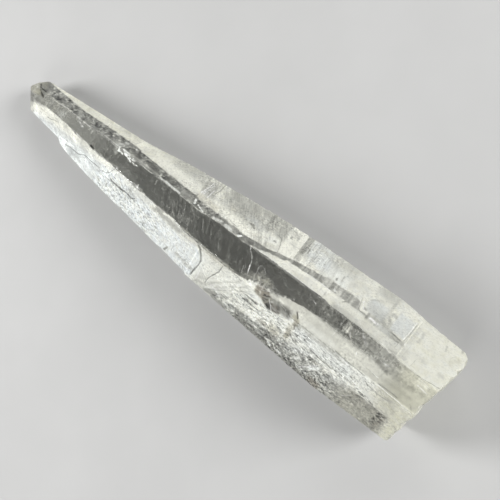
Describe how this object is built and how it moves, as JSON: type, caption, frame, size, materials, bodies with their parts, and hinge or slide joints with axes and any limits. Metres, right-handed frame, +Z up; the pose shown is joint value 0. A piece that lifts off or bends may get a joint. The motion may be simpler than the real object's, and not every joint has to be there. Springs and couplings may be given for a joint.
{
  "type": "quartz crystal",
  "caption": "Long clear quartz crystal tapering from a broken base to a low pointed end, with frosted and etched side faces; a loose display piece that lies on its widest flat face.",
  "frame": {"origin": "under the middle of the bounding box, on the surface that the crystal lies on", "axes": "+X along the crystal from its point to its broken base, +Y across it to the smoother side face, +Z up from the prism face that it lies on"},
  "size_m": [0.111, 0.022, 0.019],
  "materials": {
    "quartz": "colourless to faintly smoky clear quartz, glossy on the narrow top face, frosted cream and white on the side faces, etched and crusted low down near the base"
  },
  "bodies": {
    "root": {"quartz_crystal": "quartz"}
  },
  "joints": []
}
